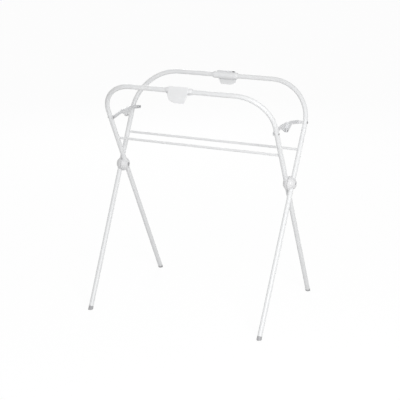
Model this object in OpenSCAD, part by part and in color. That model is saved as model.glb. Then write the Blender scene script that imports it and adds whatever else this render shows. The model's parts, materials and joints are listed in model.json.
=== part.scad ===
// Folding stand for a baby bath: two bent-tube frames cross at a round hub on each end,
// a folding stay holds them apart above each hub, and a clip on each rail holds the bath's rim.
// X runs across the stand, Y from the front rail to the rear rail, and Z is up from the floor.

/* [Stand] */
// Height of the two rails' centre lines above the floor
rail_h = 926; // [860:1:1000]
// Height of the hub pivots above the floor
pivot_h = 553; // [500:1:620]
// Lean of each frame from upright when the stand is open
leg_lean = 28.25; // [24:0.25:32]
// Width of the rear frame at its bends, centre to centre of its tube
rear_frame_w = 780; // [700:1:860]
// Sideways step from the rear frame's tube in to the front frame's tube at the bends
side_step = 26; // [25:0.5:32]

/* [Tube] */
// Outer diameter of the frame tube
tube_d = 19; // [17:0.5:20]
// Wall of the frame tube
tube_wall = 1.2; // [0.8:0.1:2]
// Centre-line radius of the front frame's top corners
front_bend_r = 138; // [110:1:150]
// Centre-line radius of the rear frame's top corners
rear_bend_r = 178; // [140:1:190]
// Radius that the tube loses where it is bent
bend_loss = 0.1; // [0.05:0.01:0.2]
// Inward lean of the front frame's legs, towards the feet
front_taper = 0.45; // [0.2:0.01:0.6]
// Inward lean of the rear frame's legs, towards the feet
rear_taper = 0.89; // [0.4:0.01:1]

/* [Cross bars] */
// Diameter of the solid cross bars
bar_d = 10; // [8:0.5:14]
// Distance of the front cross bar up its frame from the pivots
front_bar_s = 145; // [110:1:200]
// Distance of the rear cross bar up its frame from the pivots
rear_bar_s = 141.5; // [110:0.5:200]

/* [Feet] */
// Length of a foot along its leg, from the tube's end to the floor
shoe_len = 13.5; // [10:0.5:25]
// How far a foot stands out past the tube's surface
shoe_lip = 0.4; // [0:0.1:0.45]
// Depth of a foot's plug inside the tube
plug_len = 22; // [12:1:40]
// Radius of the round at a foot's upper edge
shoe_edge_r = 1; // [0.5:0.1:2]

/* [Hubs] */
// Diameter of the round hubs
hub_d = 58; // [52:1:70]
// Height of the outer half's dome above the plane where the halves meet
outer_hub_t = 29; // [27:0.5:36]
// Height of the inner half's dome above the plane where the halves meet
inner_hub_t = 25.5; // [25:0.5:34]
// Straight part of a half's rim, before its dome begins
hub_rim = 3; // [2:0.5:8]
// Gap between the two halves, which the friction washer fills
hub_gap = 1.4; // [1:0.1:3]
// Diameter of the friction washer between the halves
hub_washer_d = 40; // [24:1:50]
// Diameter of the round recess at each dome's top
recess_d = 16; // [15:0.5:20]
// Plastic left between a recess's floor and the tube
recess_floor = 0.8; // [0.5:0.1:1.5]

/* [Pivot rivets] */
// Diameter of the pivot rivets' shank
pivot_d = 6; // [4:0.5:8]
// Diameter of the pivot rivets' head
pivot_head_d = 13; // [10:0.5:14]
// Height of the pivot rivets' head
pivot_head_h = 3.2; // [2:0.1:4]
// Diameter of the washer under a pivot rivet's closed end
pivot_washer_d = 14; // [10:0.5:14.5]
// Thickness of the washer under a pivot rivet's closed end
pivot_washer_t = 0.8; // [0.5:0.1:1]
// Diameter of a pivot rivet's closed end
pivot_tail_d = 9.4; // [8:0.2:12]
// Height of a pivot rivet's closed end
pivot_tail_h = 1.8; // [1:0.1:2]

/* [End stays] */
// Distance of the stays' frame pivots down each frame from its rail
stay_below = 169.44; // [160:0.01:180]
// Depth of a stay arm's bar
arm_depth = 14; // [12:0.5:16]
// Width of a front arm's channel section, across the stand
front_arm_t = 4.5; // [3:0.5:5]
// Width of a rear arm's channel section, across the stand
rear_arm_t = 6; // [3:0.5:8]
// Sheet thickness of the arms
arm_sheet = 1.5; // [1:0.1:2]
// Drop of the middle pivot below the line between a stay's frame pivots
knuckle_drop = 11; // [8:0.5:15]
// Rise of the arms' bars near the middle, above the same line
elbow_rise = 12; // [6:0.5:14]
// Distance of the arms' elbows from the middle of the stay
elbow_y = 45; // [20:1:60]
// How far an arm's round eyes and elbow stand out past its bar's edges
eye_swell = 0.3; // [0.2:0.1:1]
// Backward lean of the faces where the two arms butt when the stand is open
butt_lean = 22; // [0:1:25]
// Thickness of the washer between a stay's two arms
knuckle_washer_t = 2; // [1.5:0.1:4]
// Diameter of the stays' rivets and pins
stay_pin_d = 5; // [4:0.5:6]
// Diameter of the stays' rivet and pin heads
stay_head_d = 10; // [8:0.5:12]
// Height of the stays' rivet and pin heads
stay_head_h = 2.2; // [1.5:0.1:3]
// Height of the closed inner ends of the rear stay pins
tail_head_h = 1.8; // [1:0.1:2]
// Diameter of the sleeve on each rear stay pin
sleeve_d = 11; // [9:0.5:14]
// Thickness of the stop plates
stop_t = 3; // [2:0.5:4]
// How far a stop plate stands clear above the middle pivot's centre
stop_foot = 10; // [9:0.5:14]
// How far a stop plate stands out past the inner face of the front arm
stop_lip = 1; // [0:0.5:3]

/* [Bath clips] */
// Length of a clip's jaw along the rail
clip_len = 114; // [100:1:140]
// Wall of a clip's jaw round the rail
jaw_wall = 4.5; // [2:0.1:5]
// Width of the mouth along the jaw
mouth_w = 10; // [8:0.5:13]
// Direction of the mouth, below level on the clip's outer side
mouth_dir = 40; // [35:1:75]
// Length of the tapered ends of a jaw
jaw_end = 7; // [3:0.5:12]
// Wall left at the tips of a jaw's tapered ends
jaw_tip = 1.5; // [0.5:0.1:2]
// Width of a clip's plate
plate_w = 85; // [70:1:95]
// Height of the plate's top edge above the rail's centre
plate_rise = 18; // [14:0.5:24]
// Drop of the plate's knee below the rail's centre
knee_drop = 14; // [5:1:25]
// Drop of the plate's bottom edge below the rail's centre
plate_drop = 43; // [35:1:55]
// How far the plate's top edge stands out from the rail's centre
top_out = 9; // [6:0.5:14]
// How far the plate's knee stands out from the rail's centre
knee_out = 22; // [18:0.5:30]
// How far the plate's bottom edge stands out from the rail's centre
low_out = 27; // [20:0.5:36]
// Thickness of a clip's plate
plate_t = 3; // [2:0.1:4.5]
// Radius of the plate's corners
plate_corner_r = 4; // [2:0.5:8]
// How far each side of the plate leans in between the knee and the bottom edge
side_lean = 10; // [4:0.5:16]
// Width of the cut lower corner of the plate
cut_w = 18; // [6:1:24]
// Height of the cut lower corner of the plate
cut_h = 8; // [4:1:14]
// Length of the web that joins the plate to the jaw
web_len = 58; // [30:1:70]
// Height of the web
web_h = 9; // [5:0.5:12]
// Length of the grip pad on the plate's inner face
pad_len = 10; // [6:0.5:20]
// Height of the grip pad
pad_h = 4; // [3:0.5:8]
// Thickness of the grip pad
pad_t = 2; // [1:0.1:2.5]
// Place of the front clip along its rail
front_clip_x = -10; // [-60:1:60]
// Place of the rear clip along its rail
rear_clip_x = 4; // [-60:1:60]

/* [Clearances] */
// Radial clearance of a shaft or tube in its hole
fit_gap = 0.05; // [0.02:0.01:0.1]
// Gap between the faces of pieces that turn against each other
face_gap = 0.15; // [0.1:0.05:0.3]
// Gap between a front arm and the side of the tube it turns beside
tube_gap = 0.3; // [0.3:0.05:0.8]

/* [Hidden] */
$fn = 48;

LEFT = -1;
RIGHT = 1;

tube_r = tube_d / 2;
bore_r = tube_r - tube_wall;
bend_lap = 0.3;
// how far a cut runs past the face it opens
overrun = 1;

// distances along a frame, measured from the pivots: up to the rail and down to the floor
top_s = round((rail_h - pivot_h) / cos(leg_lean) * 100) / 100;
foot_s = pivot_h / cos(leg_lean);
tube_end_s = foot_s - shoe_len;
stay_s = top_s - stay_below;
rail_y = top_s * sin(leg_lean);
rail_z = pivot_h + top_s * cos(leg_lean);

// a frame's own sizes: half width at the bends, bend radius, taper of the legs and lean
FRONT = [rear_frame_w / 2 - side_step, front_bend_r, front_taper, leg_lean];
REAR = [rear_frame_w / 2, rear_bend_r, rear_taper, -leg_lean];

function corner_x(f) = f[0] - f[1];
function corner_s(f) = top_s - f[1];
function bend_end_x(f) = corner_x(f) + f[1] * cos(f[2]);
function bend_end_s(f) = corner_s(f) - f[1] * sin(f[2]);

// distance of a frame's tube from the middle of the stand, at distance s up the frame
function tube_x(f, s) = s > bend_end_s(f)
    ? corner_x(f) + sqrt(pow(f[1], 2) - pow(s - corner_s(f), 2))
    : bend_end_x(f) - (bend_end_s(f) - s) * tan(f[2]);

// seat of a stay's head on the outer side of a frame's tube, clear of the tube's slope or bend
function head_seat_x(f) = tube_r
    + max(tube_x(f, stay_s - stay_head_d / 2), tube_x(f, stay_s + stay_head_d / 2));

// plane where the two halves of a hub meet
split_x = (tube_x(FRONT, 0) + tube_x(REAR, 0)) / 2;
outer_floor = tube_x(REAR, 0) + tube_r + recess_floor - split_x;
inner_floor = split_x - tube_x(FRONT, 0) + tube_r + recess_floor;

// stay pivots in the Y-Z plane, and the X range of each arm
stay_y = stay_s * sin(leg_lean);
stay_z = pivot_h + stay_s * cos(leg_lean);
knuckle_z = stay_z - knuckle_drop;
elbow_z = stay_z + elbow_rise;
arm_top_z = elbow_z + arm_depth / 2;
front_arm_x1 = tube_x(FRONT, stay_s) - tube_r - tube_gap;
front_arm_x0 = front_arm_x1 - front_arm_t;
rear_arm_x0 = front_arm_x1 + knuckle_washer_t + face_gap;
rear_arm_x1 = rear_arm_x0 + rear_arm_t;

// the sloping line where a stay's arms butt, through the middle pivot
function butt_y(z) = (z - knuckle_z) * tan(butt_lean);

floor_block = 4 * rail_h;

// turns a frame's own axes (X across, Z up along the tubes) into its place in the open stand
module in_frame(f) {
    translate([0, 0, pivot_h])
        rotate([f[3], 0, 0])
            children();
}

// a rod along X between two places, at height s up the current axes
module cross_rod(x0, x1, r, s = 0) {
    translate([x0, 0, s])
        rotate([0, 90, 0])
            cylinder(r = r, h = x1 - x0);
}

// axes at a top corner's centre, turned with its leg: X runs out to the leg, Z up along it
module at_corner(f) {
    translate([corner_x(f), 0, corner_s(f)])
        rotate([0, f[2], 0])
            children();
}

// the straight run of a leg as a solid rod of radius r, lapping its bend a little
module leg_run(f, r, end_s) {
    at_corner(f)
        translate([f[1], 0, bend_lap])
            rotate([180, 0, 0])
                cylinder(r = r, h = bend_lap + (bend_end_s(f) - end_s) / cos(f[2]));
}

// the bent corner between a leg and the rail
module corner_bend(f, r) {
    at_corner(f)
        rotate([90, 0, 0])
            rotate_extrude(angle = 90 + f[2])
                translate([f[1], 0])
                    circle(r = r - bend_loss);
}

// the whole bent rod of a frame, from the end of one leg over the rail to the end of the other
module frame_rod(f, r, end_s) {
    rail_end = corner_x(f) + bend_lap;
    cross_rod(-rail_end, rail_end, r, top_s);
    for (side = [LEFT, RIGHT])
        scale_side(side) {
            leg_run(f, r, end_s);
            corner_bend(f, r);
        }
}

// keeps a right-hand shape as it is, or mirrors it to the left
module scale_side(side) {
    mirror([side == LEFT ? 1 : 0, 0, 0])
        children();
}

module frame_tube(f) {
    past_leg = f[0] + tube_d;
    color("white")
        in_frame(f)
            difference() {
                frame_rod(f, tube_r, -tube_end_s);
                frame_rod(f, bore_r, -tube_end_s - overrun);
                for (side = [LEFT, RIGHT])
                    scale_side(side) {
                        cross_rod(0, past_leg, pivot_d / 2 + fit_gap);
                        cross_rod(0, past_leg, stay_pin_d / 2 + fit_gap, stay_s);
                    }
            }
}

// a solid bar between a frame's legs, with its ends shaped to the tubes
module cross_bar(f, s) {
    color("white")
        in_frame(f)
            difference() {
                cross_rod(-tube_x(f, s), tube_x(f, s), bar_d / 2, s);
                for (side = [LEFT, RIGHT])
                    scale_side(side)
                        leg_run(f, tube_r, -tube_end_s);
            }
}

// plug and shoe in the end of a leg; the shoe's base lies flat on the floor
module foot(f, side) {
    shoe_r = tube_r + shoe_lip;
    past_floor = 3 * shoe_len;
    color("gainsboro")
        difference() {
            in_frame(f)
                scale_side(side)
                    translate([tube_x(f, -tube_end_s), 0, -tube_end_s])
                        rotate([0, 180 + f[2], 0]) {
                            translate([0, 0, shoe_edge_r])
                                cylinder(r = shoe_r, h = past_floor);
                            cylinder(r = shoe_r - shoe_edge_r, h = shoe_edge_r);
                            rotate_extrude()
                                translate([shoe_r - shoe_edge_r, shoe_edge_r])
                                    circle(r = shoe_edge_r);
                            translate([0, 0, -plug_len])
                                cylinder(r = bore_r - fit_gap, h = plug_len + shoe_edge_r);
                        }
            translate([-floor_block / 2, -floor_block / 2, -floor_block])
                cube(floor_block);
        }
}

// axes of a hub half: Z' runs out along X from the plane where the halves meet
module at_hub(side, outward) {
    translate([side * split_x, 0, pivot_h])
        rotate([0, side * outward * 90, 0])
            children();
}

// domed half of a hub, bored for its frame's tube and for the pivot rivet
module hub_half(f, side, outward, t, floor_z) {
    hub_r = hub_d / 2;
    dome_z = (t * t - hub_r * hub_r - hub_rim * hub_rim) / (2 * (t - hub_rim));
    color("whitesmoke")
        difference() {
            at_hub(side, outward)
                intersection() {
                    translate([0, 0, dome_z])
                        sphere(r = t - dome_z);
                    translate([0, 0, hub_gap / 2])
                        cylinder(r = hub_r, h = t);
                }
            in_frame(f)
                scale_side(side)
                    leg_run(f, tube_r + fit_gap, -hub_d);
            at_hub(side, outward) {
                cylinder(r = pivot_d / 2 + fit_gap, h = 2 * t);
                translate([0, 0, floor_z])
                    cylinder(r = recess_d / 2, h = t);
            }
        }
}

// friction washer on the inner half's flat face
module hub_washer(side) {
    color("lightgray")
        at_hub(side, 1)
            translate([0, 0, -hub_gap / 2])
                difference() {
                    cylinder(r = hub_washer_d / 2, h = hub_gap - face_gap);
                    translate([0, 0, -overrun])
                        cylinder(r = pivot_d / 2 + fit_gap, h = hub_gap + 2 * overrun);
                }
}

// washer under the closed end of a pivot rivet, in the inner half's recess
module pivot_washer(side) {
    color("silver")
        at_hub(side, -1)
            translate([0, 0, inner_floor])
                difference() {
                    cylinder(r = pivot_washer_d / 2, h = pivot_washer_t);
                    translate([0, 0, -overrun])
                        cylinder(r = pivot_d / 2 + fit_gap, h = pivot_washer_t + 2 * overrun);
                }
}

// low round head of radius r and height h, standing on its flat side
module round_head(r, h) {
    cap_r = (r * r + h * h) / (2 * h);
    intersection() {
        translate([0, 0, h - cap_r])
            sphere(r = cap_r);
        cylinder(r = 2 * r, h = 2 * h);
    }
}

// a shank from z0 to z1 with a round head beyond each end; a height of 0 leaves that head out
module rivet(r, z0, z1, head0_r, head0_h, head1_r, head1_h) {
    root0 = head0_h / 2;
    root1 = head1_h / 2;
    translate([0, 0, z0 - root0])
        cylinder(r = r, h = z1 - z0 + root0 + root1);
    if (head0_h > 0)
        translate([0, 0, z0])
            mirror([0, 0, 1])
                round_head(head0_r, head0_h);
    if (head1_h > 0)
        translate([0, 0, z1])
            round_head(head1_r, head1_h);
}

module pivot_rivet(side) {
    color("gray")
        at_hub(side, 1)
            rivet(pivot_d / 2, -inner_floor - pivot_washer_t, outer_floor + face_gap,
                pivot_tail_d / 2, pivot_tail_h, pivot_head_d / 2, pivot_head_h);
}

// axes of a stay pivot on a frame: Z' runs out along X from the middle of the stand
module at_frame_pivot(f, side) {
    in_frame(f)
        scale_side(side)
            translate([0, 0, stay_s])
                rotate([0, 90, 0])
                    children();
}

// rivet that carries a front arm on the front frame's tube
module stay_rivet(side) {
    color("gray")
        at_frame_pivot(FRONT, side)
            rivet(stay_pin_d / 2, front_arm_x0 - face_gap, head_seat_x(FRONT),
                stay_head_d / 2, stay_head_h, stay_head_d / 2, stay_head_h);
}

// the rear pin's part in the rear frame: it ends just short of the rear arm
module rear_pin(side) {
    color("gray")
        at_frame_pivot(REAR, side)
            rivet(stay_pin_d / 2, rear_arm_x1 + face_gap, head_seat_x(REAR),
                0, 0, stay_head_d / 2, stay_head_h);
}

// the rear pin's closed inner end, which stays with the rear arm
module pin_tail(side) {
    color("gray")
        at_frame_pivot(REAR, side)
            rivet(stay_pin_d / 2, rear_arm_x0, rear_arm_x1,
                stay_head_d / 2, tail_head_h, 0, 0);
}

// sleeve that fills the space between a rear arm and the rear frame's tube, cut to the tube
module pin_sleeve(side) {
    x0 = rear_arm_x1 + face_gap;
    length = tube_x(REAR, stay_s) - x0;
    color("white")
        difference() {
            at_frame_pivot(REAR, side)
                translate([0, 0, x0])
                    difference() {
                        cylinder(r = sleeve_d / 2, h = length);
                        translate([0, 0, -overrun])
                            cylinder(r = stay_pin_d / 2 + fit_gap, h = length + 2 * overrun);
                    }
            in_frame(REAR)
                scale_side(side) {
                    corner_bend(REAR, tube_r);
                    leg_run(REAR, tube_r, 0);
                }
        }
}

// a flat bar w deep through the given points, with a round eye at each of them
module linked(points, w) {
    for (i = [1 : len(points) - 1]) {
        d = points[i] - points[i - 1];
        translate(points[i - 1])
            rotate(atan2(d[1], d[0]))
                translate([0, -w / 2])
                    square([norm(d), w]);
    }
    for (c = points)
        translate(c)
            circle(r = w / 2 + eye_swell);
}

// places [Y, Z] of a stay arm's frame pivot, elbow and middle pivot
// dir is -1 for a front arm and 1 for a rear one
function frame_eye(dir) = [dir * stay_y, stay_z];
function elbow(dir) = [dir * elbow_y, elbow_z];
knuckle = [0, knuckle_z];

// outline of an arm: a bar from the frame pivot to the elbow, a lug down to the middle pivot
// and a butting nose
module arm_outline(dir) {
    gap = dir * face_gap;
    difference() {
        union() {
            linked([frame_eye(dir), elbow(dir), knuckle], arm_depth);
            polygon([[elbow(dir)[0], arm_top_z], [butt_y(arm_top_z) + gap, arm_top_z],
                [gap, knuckle_z], [elbow(dir)[0], arm_top_z - arm_depth]],
                [dir > 0 ? [0, 1, 2, 3] : [3, 2, 1, 0]]);
        }
        for (eye = [frame_eye(dir), knuckle])
            translate(eye)
                circle(r = stay_pin_d / 2 + fit_gap);
    }
}

// a channel-section arm, open towards the middle of the stand
module stay_arm(side, dir, x0, t) {
    pocket_start = frame_eye(dir) + (elbow(dir) - frame_eye(dir)) * arm_depth / stay_y;
    color("lightgray")
        scale_side(side)
            translate([x0, 0, 0])
                rotate([90, 0, 90])
                    difference() {
                        linear_extrude(t)
                            arm_outline(dir);
                        translate([0, 0, -overrun])
                            linear_extrude(overrun + t - arm_sheet)
                                linked([pocket_start, elbow(dir)], arm_depth - 2 * arm_sheet);
                    }
}

// axes of a stay's middle pivot: Z' runs out along X from the middle of the stand
module at_knuckle(side) {
    scale_side(side)
        translate([0, 0, knuckle_z])
            rotate([0, 90, 0])
                children();
}

module knuckle_rivet(side) {
    color("gray")
        at_knuckle(side)
            rivet(stay_pin_d / 2, front_arm_x0, rear_arm_x1 + face_gap,
                stay_head_d / 2, stay_head_h, stay_head_d / 2, stay_head_h);
}

module knuckle_washer(side) {
    color("white")
        at_knuckle(side)
            translate([0, 0, front_arm_x1])
                difference() {
                    cylinder(r = stay_head_d / 2, h = knuckle_washer_t);
                    translate([0, 0, -overrun])
                        cylinder(r = stay_pin_d / 2 + fit_gap, h = knuckle_washer_t + 2 * overrun);
                }
}

// plate on a rear arm's inner face, which the front arm's nose butts against when the stand is open
module stop_plate(side) {
    x0 = front_arm_x0 - stop_lip;
    z0 = knuckle_z + stop_foot;
    near0 = butt_y(z0) + face_gap;
    near1 = butt_y(arm_top_z) + face_gap;
    color("white")
        scale_side(side)
            translate([x0, 0, 0])
                rotate([90, 0, 90])
                    linear_extrude(rear_arm_x0 - x0)
                        polygon([[near0, z0], [near0 + stop_t, z0],
                            [near1 + stop_t, arm_top_z], [near1, arm_top_z]]);
}

// outline of a clip's plate as seen from the front: its sides lean in below the knee,
// and one lower corner is cut
module plate_outline() {
    r = plate_corner_r;
    edge = plate_w / 2 - r;
    low = r - plate_drop;
    low_edge = edge - side_lean;
    cut_edge = edge - side_lean * (knee_drop + low + cut_h) / (knee_drop + low);
    corners = [[-edge, plate_rise - r], [edge, plate_rise - r], [edge, -knee_drop],
        [low_edge, low], [cut_w - low_edge, low], [-cut_edge, low + cut_h], [-edge, -knee_drop]];
    hull()
        for (c = corners)
            translate(c)
                circle(r = r, $fn = 32);
}

// place of the plate's inner face at height z, above its knee
function inner_y(z) = plate_t - top_out - (knee_out - top_out) / (plate_rise + knee_drop) * (plate_rise - z);

// section of a clip's plate in the Y-Z plane: it flares outwards and then hangs
module plate_section() {
    polygon([[-top_out, plate_rise], [-knee_out, -knee_drop], [-low_out, -plate_drop],
        [plate_t - low_out, -plate_drop], [plate_t - knee_out, -knee_drop], [plate_t - top_out, plate_rise]]);
}

module clip_plate() {
    intersection() {
        translate([-plate_w / 2, 0, 0])
            rotate([90, 0, 90])
                linear_extrude(plate_w)
                    plate_section();
        rotate([90, 0, 0])
            linear_extrude(2 * low_out)
                plate_outline();
    }
}

// jaw round the rail with tapered ends and a mouth along its outer side, behind the plate
module clip_jaw() {
    jaw_r = tube_r + jaw_wall;
    straight = clip_len - 2 * jaw_end;
    difference() {
        union() {
            cross_rod(-straight / 2, straight / 2, jaw_r);
            for (side = [LEFT, RIGHT])
                scale_side(side)
                    translate([straight / 2, 0, 0])
                        rotate([0, 90, 0])
                            cylinder(r1 = jaw_r, r2 = tube_r + jaw_tip, h = jaw_end);
            translate([-web_len / 2, 0, 0])
                rotate([90, 0, 90])
                    linear_extrude(web_len)
                        polygon([[-tube_r, web_h], [inner_y(web_h) - plate_t / 2, web_h],
                            [inner_y(0) - plate_t / 2, 0], [-tube_r, 0]]);
        }
        cross_rod(-clip_len, clip_len, tube_r + fit_gap);
        rotate([mouth_dir, 0, 0])
            translate([-clip_len, -2 * jaw_r, -mouth_w / 2])
                cube([2 * clip_len, 2 * jaw_r, mouth_w]);
    }
}

// a bath clip on a rail along X through the origin, its plate on the -Y side
module bath_clip() {
    color("white") {
        clip_jaw();
        clip_plate();
    }
}

// grip pad in the top corner of a plate's inner face, over the cut lower corner
module clip_pad() {
    z0 = plate_rise - pad_h;
    color("black")
        translate([plate_corner_r - plate_w / 2, 0, 0])
            rotate([90, 0, 90])
                linear_extrude(pad_len)
                    polygon([[inner_y(z0), z0], [inner_y(z0) + pad_t, z0],
                        [inner_y(plate_rise) + pad_t, plate_rise], [inner_y(plate_rise), plate_rise]]);
}

module on_front_rail() {
    translate([front_clip_x, -rail_y, rail_z])
        children();
}

module on_rear_rail() {
    translate([rear_clip_x, rail_y, rail_z])
        rotate([0, 0, 180])
            children();
}

frame_tube(FRONT);  // front_frame_tube
frame_tube(REAR);  // rear_frame_tube
cross_bar(FRONT, front_bar_s);  // front_cross_bar
cross_bar(REAR, rear_bar_s);  // rear_cross_bar
foot(FRONT, LEFT);  // back_left_foot
foot(FRONT, RIGHT);  // back_right_foot
foot(REAR, LEFT);  // front_left_foot
foot(REAR, RIGHT);  // front_right_foot
hub_half(FRONT, LEFT, -1, inner_hub_t, inner_floor);  // left_inner_hub
hub_half(FRONT, RIGHT, -1, inner_hub_t, inner_floor);  // right_inner_hub
hub_half(REAR, LEFT, 1, outer_hub_t, outer_floor);  // left_outer_hub
hub_half(REAR, RIGHT, 1, outer_hub_t, outer_floor);  // right_outer_hub
for (side = [LEFT, RIGHT]) hub_washer(side);  // hub_washers
for (side = [LEFT, RIGHT]) pivot_rivet(side);  // pivot_rivets
for (side = [LEFT, RIGHT]) pivot_washer(side);  // pivot_rivet_washers
for (side = [LEFT, RIGHT]) stay_rivet(side);  // stay_front_rivets
for (side = [LEFT, RIGHT]) rear_pin(side);  // stay_rear_pins
for (side = [LEFT, RIGHT]) pin_sleeve(side);  // stay_pin_sleeves
stay_arm(LEFT, -1, front_arm_x0, front_arm_t);  // left_front_stay
stay_arm(RIGHT, -1, front_arm_x0, front_arm_t);  // right_front_stay
stay_arm(LEFT, 1, rear_arm_x0, rear_arm_t);  // left_rear_stay
stay_arm(RIGHT, 1, rear_arm_x0, rear_arm_t);  // right_rear_stay
knuckle_rivet(LEFT);  // left_knuckle_rivet
knuckle_rivet(RIGHT);  // right_knuckle_rivet
knuckle_washer(LEFT);  // left_knuckle_washer
knuckle_washer(RIGHT);  // right_knuckle_washer
pin_tail(LEFT);  // left_pin_tail
pin_tail(RIGHT);  // right_pin_tail
stop_plate(LEFT);  // left_stop_plate
stop_plate(RIGHT);  // right_stop_plate
on_front_rail() bath_clip();  // front_clip
on_rear_rail() bath_clip();  // rear_clip
on_front_rail() clip_pad();  // front_clip_pad
on_rear_rail() clip_pad();  // rear_clip_pad
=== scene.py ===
import json
import math

import bmesh
import bpy
import numpy as np
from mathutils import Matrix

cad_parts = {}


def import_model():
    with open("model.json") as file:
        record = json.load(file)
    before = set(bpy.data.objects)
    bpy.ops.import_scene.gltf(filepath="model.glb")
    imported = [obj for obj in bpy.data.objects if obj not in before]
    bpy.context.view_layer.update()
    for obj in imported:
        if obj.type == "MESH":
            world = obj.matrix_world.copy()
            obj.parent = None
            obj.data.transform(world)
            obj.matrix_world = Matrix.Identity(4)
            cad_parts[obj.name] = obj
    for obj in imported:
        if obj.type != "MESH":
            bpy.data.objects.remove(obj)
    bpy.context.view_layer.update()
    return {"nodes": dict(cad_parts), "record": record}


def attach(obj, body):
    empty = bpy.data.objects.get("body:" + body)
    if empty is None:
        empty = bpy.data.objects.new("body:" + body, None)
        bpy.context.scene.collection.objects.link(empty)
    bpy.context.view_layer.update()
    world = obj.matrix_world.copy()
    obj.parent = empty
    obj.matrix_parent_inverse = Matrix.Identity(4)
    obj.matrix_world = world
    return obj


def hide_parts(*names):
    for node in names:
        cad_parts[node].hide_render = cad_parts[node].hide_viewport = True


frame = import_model()

# Sizes are in millimetres, as in the solids, and MM turns them into metres.
MM = 0.001
LEAN = math.radians(28.25)  # each frame's lean from upright
PIVOT_H = 553.0  # hub pivots above the floor
TUBE_R = 9.5
SPLIT_X = 373.985  # middle plane of each hub, between its halves
FRONT_X = 361.763  # front frame's tubes at the hubs
REAR_X = 386.21  # rear frame's tubes at the hubs
STAY_S = 254.0  # stay rivets and pins, up each frame from the hubs
RAIL_Y = 200.41  # each rail, from the stand's middle
RAIL_Z = 926.0  # rails above the floor

# ---------------------------------------------------------------- shapes


def leaned(points, way):
    """Points in a frame's own axes, in millimetres, turned by its lean about the hub pivots.
    way is 1 for the front frame and -1 for the rear one."""
    x, y, z = np.moveaxis(np.asarray(points, float), -1, 0)
    c, s = math.cos(LEAN), math.sin(LEAN) * way
    return np.stack([x, c * y - s * z, s * y + c * z + PIVOT_H], -1)


def filleted(corners, radii, steps=6):
    """A polyline with its inner corners rounded: each corner becomes an arc of its radius that
    touches both sides. An arc takes up less than half of either side."""
    nearly_straight, most_of_side = 1.55, 0.49
    corners = np.asarray(corners, float)
    out = [corners[0]]
    for a, b, c, r in zip(corners[:-2], corners[1:-1], corners[2:], radii):
        u, v = (a - b) / np.linalg.norm(a - b), (c - b) / np.linalg.norm(c - b)
        half = math.acos(np.clip(u @ v, -1, 1)) / 2
        if r <= 0 or half > nearly_straight:
            out.append(b)
            continue
        shorter = min(np.linalg.norm(a - b), np.linalg.norm(c - b))
        reach = min(r / math.tan(half), most_of_side * shorter)
        r = reach * math.tan(half)
        middle = b + (u + v) / np.linalg.norm(u + v) * r / math.sin(half)
        p, q = b + u * reach - middle, b + v * reach - middle
        turn = math.pi - 2 * half
        t = np.linspace(0, 1, steps + 1)[:, None]
        out.extend(middle + (np.sin((1 - t) * turn) * p + np.sin(t * turn) * q) / math.sin(turn))
    out.append(corners[-1])
    return np.array(out)


def once_round(count):
    """Angles of count points at equal steps once round a circle."""
    return np.linspace(0, 2 * math.pi, count, endpoint=False)


def turned(profile, count):
    """A profile of [radius, height] turned once round the height axis: x = r cos a,
    y = r sin a, z = height."""
    a = once_round(count)
    r, h = np.asarray(profile, float).T[..., None]
    return np.stack([r * np.cos(a), r * np.sin(a), h + 0 * a], -1)


def along_x(points, x0, outward, z):
    """Lays a turned shape along X, z above the floor or up a frame: its height runs from x0,
    and outward is 1 or -1 for the way it runs."""
    p = np.asarray(points, float)
    return np.stack([x0 + outward * p[..., 2], p[..., 1], z + p[..., 0]], -1)


def bead(path, radius, lift):
    """A round bead along a closed path: at each point a circle stands across the path, with
    its first axis towards lift and its second square to that."""
    step = np.roll(path, -1, 0) - np.roll(path, 1, 0)
    step /= np.linalg.norm(step, axis=1)[:, None]
    up = lift - (lift * step).sum(1)[:, None] * step
    up /= np.linalg.norm(up, axis=1)[:, None]
    side = np.cross(step, up)
    a = once_round(12)[None, :, None]
    radius = np.broadcast_to(radius, len(path))[:, None, None]
    return path[:, None] + radius * (np.cos(a) * up[:, None] + np.sin(a) * side[:, None])


def quarter_round(edge, steps):
    """A soft edge of radius edge, from its end face to its side, as two lists over an angle a
    of 0 to 90 degrees: edge (1 - sin a) in from the side, and edge (1 - cos a) past the end."""
    a = np.linspace(0, math.pi / 2, steps)
    return edge * (1 - np.sin(a)), edge * (1 - np.cos(a))


def prism(section, x0, x1, edge):
    """A closed [y, z] outline carried from x0 to x1. At both ends it shrinks towards its middle
    through a quarter round, and then closes in a point."""
    section = np.asarray(section, float)
    middle = section.mean(0)
    arm = section - middle
    reach = np.linalg.norm(arm, axis=1)[:, None]
    inset, depth = quarter_round(edge, 5)
    point = [reach.max()]
    inset = np.concatenate([point, inset, inset[::-1], point])
    x = np.concatenate([[x0], x0 + depth, x1 - depth[::-1], [x1]])
    yz = middle + arm * np.clip(1 - inset[:, None, None] / reach, 0, 1)
    return np.concatenate([np.broadcast_to(x[:, None, None], yz.shape[:2] + (1,)), yz], -1)


def closed_outline(corners, radius, count=160):
    """A closed polygon with round corners, as count points at equal steps along it."""
    c = np.asarray(corners, float)
    start = (c[0] + c[-1]) / 2
    line = filleted(np.vstack([start, c, start]), [radius] * len(c), 8)
    length = np.concatenate([[0], np.cumsum(np.linalg.norm(np.diff(line, axis=0), axis=1))])
    t = np.linspace(0, length[-1], count, endpoint=False)
    return np.stack([np.interp(t, length, line[:, i]) for i in (0, 1)], -1)


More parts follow.
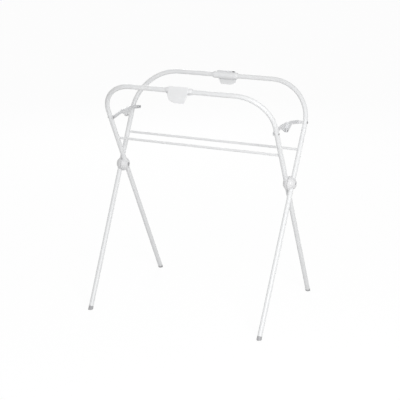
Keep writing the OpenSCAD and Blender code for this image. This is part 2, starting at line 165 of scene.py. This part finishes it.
def mesh_piece(name, grids, finish, body, stands_for=()):
    """One piece of several grids of points in millimetres, each a pair (grid, wrap). A grid's
    rows are closed and joined to each other, and with wrap the last is joined to the first.
    Points that meet are merged, and the faces are turned outwards."""
    merge_m, flat_m, sharp = 2e-6, 1e-7, math.radians(40)
    points, quads, start = [], [], 0
    for grid, wrap in grids:
        m, n = grid.shape[:2]
        i = np.arange(m if wrap else m - 1)[:, None]
        j = np.arange(n)[None]
        a, b = i * n + j, i * n + (j + 1) % n
        c, d = (i + 1) % m * n + (j + 1) % n, (i + 1) % m * n + j
        quads.append(np.stack([a, b, c, d], -1).reshape(-1, 4) + start)
        points.append(grid.reshape(-1, 3))
        start += m * n
    mesh = bpy.data.meshes.new(name)
    mesh.from_pydata(np.vstack(points) * MM, [], np.vstack(quads).tolist())
    b = bmesh.new()
    b.from_mesh(mesh)
    bmesh.ops.remove_doubles(b, verts=b.verts, dist=merge_m)
    bmesh.ops.dissolve_degenerate(b, edges=b.edges, dist=flat_m)
    bmesh.ops.recalc_face_normals(b, faces=b.faces)
    b.to_mesh(mesh)
    b.free()
    mesh.polygons.foreach_set("use_smooth", np.ones(len(mesh.polygons), bool))
    mesh.set_sharp_from_angle(angle=sharp)
    mesh.materials.append(finish)
    piece = bpy.data.objects.new(name, mesh)
    bpy.context.scene.collection.objects.link(piece)
    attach(piece, body)
    if stands_for:
        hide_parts(*stands_for)


# ---------------------------------------------------------------- finishes


class Value:
    """A shader socket that Python's operators work on. Each operator adds its Math node."""

    def __init__(self, nodes, socket):
        self.nodes, self.socket = nodes, socket

    def math(self, operation, *values):
        """A Math node's result."""
        settings = {"operation": operation}
        return self.nodes.node("ShaderNodeMath", settings, dict(enumerate(values)))

    def __add__(self, other): return self.math("ADD", self, other)
    def __radd__(self, other): return self.math("ADD", other, self)
    def __mul__(self, other): return self.math("MULTIPLY", self, other)
    def __rmul__(self, other): return self.math("MULTIPLY", other, self)


class Nodes:
    """The node tree of a material or the world, and a method that adds any node to it."""

    def __init__(self, tree):
        self.tree = tree

    def node(self, kind, settings=None, sockets=None, out=0):
        """A new node's output. Its settings come first, "stops" being a ramp's pairs of place
        and level, and then its sockets get their values or links."""
        node = self.tree.nodes.new(kind)
        for name, value in (settings or {}).items():
            if name == "stops":
                ramp = node.color_ramp
                while len(ramp.elements) < len(value):
                    ramp.elements.new(0.5)
                for element, (place, level) in zip(ramp.elements, value):
                    element.position, element.color = place, (level, level, level, 1)
            else:
                setattr(node, name, value)
        for name, value in (sockets or {}).items():
            if isinstance(value, Value):
                self.tree.links.new(value.socket, node.inputs[name])
            else:
                node.inputs[name].default_value = value
        return Value(self, node.outputs[out])

    def seen(self):
        """1 for rays from the camera, off a mirror or through glass, and 0 for all others."""
        rays = self.node("ShaderNodeLightPath").socket.node.outputs
        share = Value(self, rays["Is Camera Ray"])
        for name in ("Is Glossy Ray", "Is Transmission Ray"):
            share = share.math("MAXIMUM", share, Value(self, rays[name]))
        return share

    def surface(self, output, share, low, high):
        """Joins a mix of two shaders to an output node: low, and high by share."""
        mix = self.node("ShaderNodeMixShader", None, {0: share, 1: low, 2: high})
        self.tree.links.new(mix.socket, self.tree.nodes[output].inputs["Surface"])


class Finish(Nodes):
    """A material with one Principled shader."""

    def __init__(self, name, **fixed):
        self.material = bpy.data.materials.new(name)
        self.material.use_nodes = True
        super().__init__(self.material.node_tree)
        self.shader = self.tree.nodes["Principled BSDF"]
        for socket, value in fixed.items():
            self.shader.inputs[socket.replace("_", " ")].default_value = value

    def place(self, *scale):
        """The point on the piece, in metres along its own axes, stretched by scale."""
        point = self.node("ShaderNodeTexCoord", out="Object")
        if not scale:
            return point
        return self.node("ShaderNodeMapping", None, {"Vector": point, "Scale": scale})

    def noise(self, point, scale, detail):
        """Smooth noise at a point: scale is its grain per metre."""
        sockets = {"Vector": point, "Scale": scale, "Detail": detail}
        return self.node("ShaderNodeTexNoise", None, sockets)

    def blend(self, share, low, high):
        """A colour between low and high, by share."""
        sockets = {0: share, 6: (*low, 1), 7: (*high, 1)}
        return self.node("ShaderNodeMix", {"data_type": "RGBA"}, sockets, out=2)

    def level(self, value, stops):
        """A value read off a ramp of (place, level) stops."""
        return self.node("ShaderNodeValToRGB", {"stops": stops}, {0: value})

    def bump(self, height, distance, strength, under=None):
        """Relief of a height, on the smooth surface or on the normals in under."""
        sockets = {"Height": height, "Distance": distance, "Strength": strength}
        if under:
            sockets["Normal"] = under
        return self.node("ShaderNodeBump", None, sockets)

    def soft_edges(self, radius):
        """Normals that round the edges by a radius in metres."""
        return self.node("ShaderNodeBevel", {"samples": 6}, {"Radius": radius})

    def set(self, **links):
        """Joins values to the Principled shader's sockets, and gives the material."""
        for socket, value in links.items():
            self.tree.links.new(value.socket, self.shader.inputs[socket.replace("_", " ")])
        return self.material


def powder_coat():
    """White powder coat on tube: faint cloudiness, orange peel about 1.5 mm across, small
    specks, and light rubbing that dulls it."""
    f = Finish("white_powder_coat", Coat_Weight=0.12, Coat_Roughness=0.22)
    point = f.place()
    cloud = f.noise(point, 7.0, 3.0)
    rub = f.level(f.noise(f.place(1, 1, 0.15), 60.0, 4.0), [(0.52, 0.0), (0.75, 1.0)])
    peel = f.noise(point, 650.0, 1.0)
    speck = f.level(f.noise(point, 1900.0, 0.0), [(0.72, 0.0), (0.80, 1.0)])
    white, clouded = (0.865, 0.87, 0.875), (0.83, 0.837, 0.845)
    return f.set(
        Base_Color=f.blend(cloud * 0.8 + speck * 0.2, white, clouded),
        Roughness=0.34 + 0.08 * cloud + 0.12 * rub,
        Normal=f.bump(peel + 0.3 * speck, 0.00012, 0.8),
    )


def moulded(name, light, dark, dulness, grain=1400.0):
    """Moulded plastic: fine spark-eroded grain and slow flow marks, a little darker and duller
    where they stand high. dulness is the least roughness of its surface."""
    f = Finish(name, IOR=1.49)
    flow = f.noise(f.place(1, 0.4, 1), 35.0, 3.0)
    fine = f.noise(f.place(), grain, 2.0)
    return f.set(
        Base_Color=f.blend(0.75 * flow + 0.25 * fine, light, dark),
        Roughness=dulness + 0.10 * flow + 0.06 * fine,
        Normal=f.bump(fine + 0.4 * flow, 0.00009, 0.7),
    )


def plated_steel(name, light, dark, metal, edges):
    """Zinc-plated steel: small crystals, fine rolling lines along the bar, smeared dull
    patches, and edges rounded by a radius in metres."""
    f = Finish(name, Metallic=metal)
    point = f.place()
    crystal = f.node("ShaderNodeTexVoronoi", None, {"Vector": point, "Scale": 380.0})
    lines = f.noise(f.place(1, 0.06, 1), 2200.0, 3.0)
    smear = f.noise(point, 45.0, 4.0)
    return f.set(
        Base_Color=f.blend(0.5 * smear + 0.25 * crystal + 0.25 * lines, light, dark),
        Roughness=0.34 + 0.16 * smear + 0.08 * lines,
        Normal=f.bump(lines + 0.3 * crystal, 0.00004, 0.5, f.soft_edges(edges)),
    )


def rubber():
    """Black rubber: matt, with a fine open grain and a grey bloom."""
    f = Finish("black_rubber")
    point = f.place()
    bloom = f.noise(point, 160.0, 4.0)
    grain = f.noise(point, 2600.0, 2.0)
    return f.set(
        Base_Color=f.blend(bloom, (0.07, 0.07, 0.072), (0.12, 0.12, 0.123)),
        Roughness=0.62 + 0.2 * grain,
        Normal=f.bump(grain, 0.00006, 0.7),
    )


COAT = powder_coat()
HUB = moulded("hub_plastic", (0.82, 0.82, 0.825), (0.755, 0.755, 0.765), dulness=0.34)
CLIP = moulded("clip_plastic", (0.885, 0.888, 0.894), (0.84, 0.845, 0.854), dulness=0.36)
SHOE = moulded("foot_plastic", (0.50, 0.50, 0.51), (0.42, 0.42, 0.43), dulness=0.5, grain=900.0)
RING = moulded("washer_plastic", (0.42, 0.42, 0.43), (0.34, 0.34, 0.35), dulness=0.45)
SLEEVE = moulded("sleeve_plastic", (0.80, 0.80, 0.81), (0.73, 0.73, 0.74), dulness=0.42)
STAY = plated_steel("zinc_plate", (0.78, 0.785, 0.795), (0.66, 0.665, 0.675),
                    metal=0.3, edges=0.0004)
RIVET = plated_steel("rivet_steel", (0.42, 0.42, 0.425), (0.27, 0.27, 0.275),
                     metal=0.85, edges=0.0003)
PAD = rubber()

NODE_FINISH = {
    "frame_paint": COAT, "hub_plastic": HUB, "clip_plastic": CLIP, "foot_plastic": SHOE,
    "stay_steel": STAY, "rivet_steel": RIVET, "washer_plastic": RING,
    "sleeve_plastic": SLEEVE, "pad_rubber": PAD,
}
for part in frame["record"]["subparts"]:
    node = frame["nodes"][part["node"]]
    node.data.materials.clear()
    node.data.materials.append(NODE_FINISH[part["material_slot"]])

# ---------------------------------------------------------------- hubs

# Heights are along the pivot, from the hub's middle plane.
HUB_R = 29.0
HUB_RIM = 3.0  # height of the rim, where the dome starts
HUB_BACK = 0.7  # height of the flat back, half the washer's gap
HUB_FLOOR = 22.52  # height of the recess's floor
RECESS_R = 8.0


def ball_centre(height):
    """Height of the middle of the ball that a dome is part of. The ball's surface passes
    through the dome's top, at height on the pivot line, and the rim, at HUB_R and HUB_RIM."""
    return (height**2 - HUB_R**2 - HUB_RIM**2) / (2 * (height - HUB_RIM))


def hub_dome(height):
    """Profile of a hub half: floor of the recess, its wall and soft mouth, the round dome out
    to the rim, the rim and the flat back."""
    mouth_fillet, back_fillet = 0.6, 0.7
    centre = ball_centre(height)
    ball = height - centre
    top = centre + math.sqrt(ball**2 - (RECESS_R + mouth_fillet) ** 2)
    start, end = math.acos((top - centre) / ball), math.acos((HUB_RIM - centre) / ball)
    a = np.linspace(start, end, 26)[1:]
    # The mouth's last corner only gives the slope that the round runs into.
    mouth = [[0, HUB_FLOOR], [RECESS_R, HUB_FLOOR], [RECESS_R, top], [RECESS_R + 1.6, top - 0.28]]
    wall = filleted(mouth, [0.5, mouth_fillet])[:-1]
    dome = np.stack([ball * np.sin(a), centre + ball * np.cos(a)], -1)
    dome = dome[dome[:, 0] > RECESS_R + 2 * mouth_fillet]
    rim = [dome[-1], [HUB_R, HUB_RIM - 1], [HUB_R, HUB_BACK], [0, HUB_BACK]]
    return np.vstack([wall, dome[:-1], filleted(rim, [0.4, back_fillet])])


def socket_lip(side, way, outward, tube_x, height, end):
    """Moulded lip where a tube enters its hub half: a bead along the line where the tube meets
    the half. At angle a round the tube, y = R cos a and h = t + R sin a, where t is the tube's
    own height, and the distance along the tube is sqrt(B^2 - y^2). B is the half's radius at
    height h: the dome's, or below it the rim's."""
    ring, lip_r = TUBE_R + 0.5, 0.75
    centre = ball_centre(height)
    a = once_round(72)
    y, h = ring * np.cos(a), abs(tube_x - SPLIT_X) + ring * np.sin(a)
    b_squared = np.where(h > HUB_RIM, (height - centre) ** 2 - (h - centre) ** 2, HUB_R**2)
    along = np.sqrt(b_squared - y**2) * end
    path = np.stack([side * (SPLIT_X + outward * h), y, along], -1)
    lift = np.stack([0 * a, 0 * a, 0 * a + end], -1)
    return leaned(bead(path, lip_r, lift), way), True


for side, word in ((-1, "left"), (1, "right")):
    for outward, half, height, way, body, tube_x in (
        (-1, "inner", 25.5, 1, "front_frame", FRONT_X),
        (1, "outer", 29.0, -1, "rear_frame", REAR_X),
    ):
        dome = along_x(turned(hub_dome(height), 96), side * SPLIT_X, side * outward, z=PIVOT_H)
        mesh_piece(f"{word}_{half}_hub_shell", [(dome, False)], HUB, body,
                   stands_for=[f"{word}_{half}_hub"])
        lips = [socket_lip(side, way, outward, tube_x, height, end) for end in (-1, 1)]
        mesh_piece(f"{word}_{half}_socket_lips", lips, HUB, body)

# ---------------------------------------------------------------- rivets


def rivet_head(radius, height):
    """Profile of a domed head: a shallow dimple in the middle, a round crown, a soft edge and a
    flat underside."""
    dimple_depth, dimple_r, edge = 0.35, 0.28 * radius, 0.25
    crown = (radius**2 + height**2) / (2 * height)
    r = np.linspace(0, radius, 24)
    z = np.sqrt(crown**2 - r**2) - (crown - height)
    z = z - dimple_depth * np.exp(-((r / dimple_r) ** 2))
    z = np.maximum(z, edge * np.sqrt(np.clip(1 - (r / radius) ** 4, 0, 1)))
    return np.vstack([np.stack([r, z], -1), [[radius, 0.0], [0.0, 0.0]]])


def rivet_rod(radius, length):
    """Profile of a plain round rod."""
    return np.array([[0, 0], [radius, 0], [radius, length], [0, length]], float)


def at_hub(profile, side, start, outward):
    """A turned shape on a hub's pivot line, from start beyond the hub's middle plane."""
    rod = turned(profile, 48)
    return along_x(rod, side * (SPLIT_X + start), side * outward, z=PIVOT_H), False


def at_stay(profile, side, x0, outward, way):
    """A turned shape on the line of a frame's stay rivet or pin, from x0."""
    rod = turned(profile, 40)
    return leaned(along_x(rod, side * x0, side * outward, z=STAY_S), way), False


PIVOT_HEAD = rivet_head(6.5, 3.2)
PIVOT_TAIL = rivet_head(4.7, 1.8)
PIVOT_ROD = rivet_rod(3.0, 2 * HUB_FLOOR + 0.8)
HEAD_SEAT, TAIL_SEAT, ROD_START = HUB_FLOOR + 0.15, -HUB_FLOOR - 0.8, -HUB_FLOOR - 0.7
STAY_HEAD = rivet_head(5.0, 2.2)
STAY_ROD_R = 2.5
# Inner and outer ends of the rods, across the stand, and the seats of what closes them.
FRONT_RIVET = (349.3, 373.3)
FRONT_TAIL_X = 349.31
REAR_PIN = (362.3, 399.3)
REAR_HEAD_X = 399.47

hub_rivets, front_rivets, rear_pins = [], [], []
for side in (-1, 1):
    hub_rivets += [
        at_hub(PIVOT_HEAD, side, HEAD_SEAT, 1),
        at_hub(PIVOT_TAIL, side, TAIL_SEAT, -1),
        at_hub(PIVOT_ROD, side, ROD_START, 1),
    ]
    inner, outer = FRONT_RIVET
    front_rivets += [
        at_stay(STAY_HEAD, side, outer, 1, 1),
        at_stay(STAY_HEAD, side, FRONT_TAIL_X, -1, 1),
        at_stay(rivet_rod(STAY_ROD_R, outer - inner), side, inner, 1, 1),
    ]
    inner, outer = REAR_PIN
    rear_pins += [
        at_stay(STAY_HEAD, side, REAR_HEAD_X, 1, -1),
        at_stay(rivet_rod(STAY_ROD_R, outer - inner), side, inner, 1, -1),
    ]
for name, rods, body, node in (
    ("hub_rivets", hub_rivets, "front_frame", "pivot_rivets"),
    ("front_stay_rivets", front_rivets, "front_frame", "stay_front_rivets"),
    ("rear_stay_pins", rear_pins, "rear_frame", "stay_rear_pins"),
):
    mesh_piece(name, rods, RIVET, body, stands_for=[node])

# ---------------------------------------------------------------- welds of the cross bars


def weld(side, way, s, tube_x):
    """Weld where a bar meets its tube: a bead along x = X - sqrt(R^2 - y^2), y = r cos a,
    z = s + r sin a. R is the tube's radius and r the bar's. The bead's own radius ripples."""
    bar_r, bead_r, ripple, ripples = 5.0, 0.95, 0.07, 22
    a = once_round(120)
    y, z = bar_r * np.cos(a), bar_r * np.sin(a)
    path = np.stack([side * (tube_x - np.sqrt(TUBE_R**2 - y**2)), y, s + z], -1)
    lift = np.stack([0 * a, np.cos(a), np.sin(a)], -1)
    return leaned(bead(path, bead_r + ripple * np.cos(ripples * a), lift), way), True


for word, way, s, tube_x in (("front", 1, 145.0, 362.90), ("rear", -1, 141.5, 388.41)):
    beads = [weld(side, way, s, tube_x) for side in (-1, 1)]
    mesh_piece(f"{word}_bar_welds", beads, COAT, f"{word}_frame")

# ---------------------------------------------------------------- feet

SHOE_H = 13.5
# Rings of a foot: radius, and share of the way from the floor to the rim. It has one groove.
SHOE_RINGS = [
    [0.0, 0.0], [8.9, 0.0], [9.6, 0.02], [9.9, 0.10], [9.9, 0.62], [9.65, 0.66],
    [9.65, 0.72], [9.9, 0.76], [9.9, 0.93], [9.6, 0.985], [9.2, 1.0], [0.0, 1.0],
]


def shoe(side, way, foot_x, taper):
    """A foot round a leg's end, as rings up the leg from the floor to the rim. The lowest ring
    follows the floor's slanted cut, and each ring above it turns back square to the leg.
    The leg leans in by taper, in degrees, towards the floor."""
    a = once_round(64)
    r, t = np.array(SHOE_RINGS).T[..., None]
    x, y = r * np.cos(a), r * np.sin(a)
    floor_s = -PIVOT_H / math.cos(LEAN)
    cut = y * way * math.tan(LEAN)
    s = (floor_s - cut) * (1 - t) + (floor_s + SHOE_H) * t
    lean_in = (s - floor_s) * math.tan(math.radians(taper))
    return leaned(np.stack([side * (foot_x + lean_in) + x, y, s], -1), way), False


for side, word in ((-1, "left"), (1, "right")):
    for end, way, foot_x, taper, body in (
        ("front", -1, 376.456, 0.89, "rear_frame"),
        ("back", 1, 356.832, 0.45, "front_frame"),
    ):
        mesh_piece(f"{end}_{word}_shoe", [shoe(side, way, foot_x, taper)], SHOE, body,
                   stands_for=[f"{end}_{word}_foot"])

# ---------------------------------------------------------------- bath clips

# Places are from the rail's middle, with y inwards and z up.
# Corners of the plate's outline, [x, z]. One lower corner is cut off.
PLATE = [
    [-42.5, 18], [42.5, 18], [42.5, -14.8], [31.2, -43], [-11.2, -43], [-34.8, -34.1],
    [-42.5, -14.8],
]
PLATE_T = 3.0
# The plate's outer face, [y, z]: its top, its knee and its foot.
PLATE_TOP, PLATE_KNEE, PLATE_FOOT = [-9, 18], [-22, -14], [-27, -43]
JAW_END = 57.0  # half the jaw's length
JAW_R = 9.55  # inside radius of the jaw


def plate_face(z):
    """y of the plate's outer face at z: the slopes above and below the knee, joined by a soft
    maximum of the two, (u + l + sqrt((u - l)^2 + 0.3)) / 2."""
    (top_y, top_z), (knee_y, knee_z), (foot_y, foot_z) = PLATE_TOP, PLATE_KNEE, PLATE_FOOT
    upper = top_y - (top_y - knee_y) * (top_z - z) / (top_z - knee_z)
    lower = knee_y - (knee_y - foot_y) * (knee_z - z) / (knee_z - foot_z)
    softness = 0.3
    return (upper + lower + np.sqrt((upper - lower) ** 2 + softness)) / 2


def plate_shell():
    """The plate as rings round its middle: out over the outer face, round the soft edge, and
    back over the inner face."""
    corner_r, edge = 4.2, 1.3
    middle = np.array([0.0, -11.0])
    arm = closed_outline(PLATE, corner_r) - middle
    reach = np.linalg.norm(arm, axis=1)
    flat = np.linspace(0, 1, 14)[:-1]
    same = np.ones(len(flat))
    inset, depth = quarter_round(edge, 7)
    share = np.concatenate([flat, np.ones(2 * len(inset)), flat[::-1]])[:, None]
    inset = np.concatenate([edge * same, inset, inset[::-1], edge * same])
    depth = np.concatenate([0 * same, depth, PLATE_T - depth[::-1], PLATE_T * same])
    xz = middle + arm * (share * (1 - inset[:, None] / reach))[..., None]
    return np.stack([xz[..., 0], plate_face(xz[..., 1]) + depth[:, None], xz[..., 1]], -1)


def jaw_shell():
    """The jaw: a bent band with round edges in the [y, z] plane, carried along the rail, and
    thinner and rounded off at both ends. Its middle line runs round the rail at angle a from one
    side of the mouth to the other, y = r cos a and z = r sin a."""
    outer_r, tip_r, straight, end_round = 14.0, 11.0, 50.0, 1.5
    mouth, half_mouth = math.radians(220), math.radians(36)
    ends = JAW_END - np.array([0, 0.2, 0.7, end_round])
    x = np.concatenate([-ends, np.linspace(-straight, straight, 21), ends[::-1]])
    past_straight = np.maximum(np.abs(x) - straight, 0) / (JAW_END - straight)
    outer = outer_r - (outer_r - tip_r) * past_straight
    near_end = 1 - np.clip((JAW_END - np.abs(x)) / end_round, 0, 1)
    half = (outer - JAW_R) / 2 * np.sqrt(1 - near_end**2)
    middle = (outer + JAW_R) / 2
    start, sweep = mouth + half_mouth, 2 * math.pi - 2 * half_mouth
    t = np.linspace(0, 1, 40)
    b = np.linspace(0, math.pi, 9)[1:-1]
    along = np.concatenate([t * sweep, sweep + 0 * b, (1 - t) * sweep, 0 * b])
    past = np.concatenate([0 * t, np.sin(b), 0 * t, -np.sin(b)])
    across = np.concatenate([0 * t + 1, np.cos(b), 0 * t - 1, -np.cos(b)])
    r = middle[:, None] + half[:, None] * across
    angle = start + along + past * half[:, None] / middle[:, None]
    return np.stack([x[:, None] + 0 * along, r * np.cos(angle), r * np.sin(angle)], -1)


def web_shell():
    """The web between the jaw and the plate: a slanted block with soft edges."""
    half_length, edge = 29, 1.2
    corners = [[-9.8, 9.0], [-11.2, 9.0], [-14.8, 0.0], [-9.8, 0.0]]
    return prism(closed_outline(corners, 0.4, 60), -half_length, half_length, edge)


def pad_section(near, far, short, corner_r, count):
    """Outline, [y, z], of a block that lies along the plate's inner face, from near to far off
    it. short is taken off its lower and upper end."""
    z = np.array([14.0, 17.0])
    low, high = plate_face(z) + PLATE_T
    z0, z1 = z[0] + short, z[1] - short
    corners = [[low + near, z0], [low + far, z0], [high + far, z1], [high + near, z1]]
    return closed_outline(corners, corner_r, count)


def pad_shells():
    """The grip pad on the plate's inner face: a soft-edged block with four ribs up it."""
    pad_x, half_rib = (-38.5, -28.5), 0.75
    block = prism(pad_section(0, 1.3, 0, 0.4, 60), *pad_x, 0.5)
    rib = pad_section(1, 2, 0.3, 0.3, 40)
    ribs = [prism(rib, x - half_rib, x + half_rib, 0.4) for x in (-37.2, -34.8, -32.2, -29.8)]
    return [block, *ribs]


def on_rail(grid, x, way):
    """A clip's shape on its rail, at x along it. way is 1 for the front rail, and -1 turns the
    shape half round for the rear one."""
    y = -way * RAIL_Y + way * grid[..., 1]
    return np.stack([x + way * grid[..., 0], y, RAIL_Z + grid[..., 2]], -1), False


for word, x, way in (("front", -10.0, 1), ("rear", 4.0, -1)):
    body = f"{word}_bath_clip"
    plate = [on_rail(grid, x, way) for grid in (plate_shell(), web_shell())]
    mesh_piece(f"{word}_clip_plate", plate, CLIP, body,
               stands_for=[f"{word}_clip"])
    mesh_piece(f"{word}_clip_jaw", [on_rail(jaw_shell(), x, way)], CLIP, body)
    pad = [on_rail(grid, x, way) for grid in pad_shells()]
    mesh_piece(f"{word}_grip_pad", pad, PAD, body, stands_for=[f"{word}_clip_pad"])

# ---------------------------------------------------------------- floor, light and camera

WHITE = (1, 1, 1, 1)


def floor():
    """A wide pale floor. It is seen nearly white, and the object's shadow still falls on it."""
    pale, glow_strength, glow_share, radius_m = (0.68, 0.68, 0.68, 1), 1.07, 0.86, 60
    finish = Finish("pale_floor", Base_Color=pale, Roughness=0.9, Specular_IOR_Level=0.2)
    glow = finish.node("ShaderNodeEmission", None, {"Color": WHITE, "Strength": glow_strength})
    plain = Value(finish, finish.shader.outputs[0])
    finish.surface("Material Output", finish.seen() * glow_share, plain, glow)
    mesh = bpy.data.meshes.new("floor")
    a = once_round(96)
    edge = radius_m * np.stack([np.cos(a), np.sin(a), 0 * a], -1)
    mesh.from_pydata(edge.tolist(), [], [list(range(len(a)))])
    mesh.materials.append(finish.material)
    piece = bpy.data.objects.new("floor", mesh)
    bpy.context.scene.collection.objects.link(piece)


def world():
    """White where it is seen or mirrored, and a softer, even light on the object."""
    made = bpy.data.worlds.new("studio")
    made.use_nodes = True
    nodes = Nodes(made.node_tree)
    light = nodes.tree.nodes["Background"]
    light.inputs["Color"].default_value = WHITE
    light.inputs["Strength"].default_value = 0.54
    white = nodes.node("ShaderNodeBackground", None, {"Color": WHITE, "Strength": 1.0})
    nodes.surface("World Output", nodes.seen(), Value(nodes, light.outputs[0]), white)
    bpy.context.scene.world = made


def lamp(name, place, aim, size, power):
    """A square soft lamp at place, turned towards aim."""
    data = bpy.data.lights.new(name, "AREA")
    data.size, data.energy = size, power
    made = bpy.data.objects.new(name, data)
    made.location = place
    x, y, z = np.array(aim, float) - np.array(place, float)
    tilt, heading = math.atan2(math.hypot(x, y), -z), math.atan2(y, x)
    made.rotation_euler = (tilt, 0, heading - math.pi / 2)
    bpy.context.scene.collection.objects.link(made)


floor()
world()
lamp("key", (2.1, -2.5, 1.65), (0.1, 0, 0.5), 1.2, 54.0)
lamp("fill", (-2.8, -2.6, 2.2), (0, 0, 0.5), 2.2, 2.0)
lamp("back", (-1.7, 3.0, 2.0), (0, 0, 0.5), 1.0, 16.0)

# The view that was fitted to the photograph. Both angles are in degrees.
look_down, azimuth = 16.04, 25.44
camera = bpy.data.objects.new("camera", bpy.data.cameras.new("camera"))
camera.data.sensor_width = 36.0
camera.data.lens = 104.76
camera.location = (1.963, -4.163, 1.762)
camera.rotation_euler = (math.radians(90 - look_down), 0, math.radians(azimuth))
bpy.context.scene.collection.objects.link(camera)
bpy.context.scene.camera = camera

view = bpy.context.scene.view_settings
view.view_transform = "Standard"
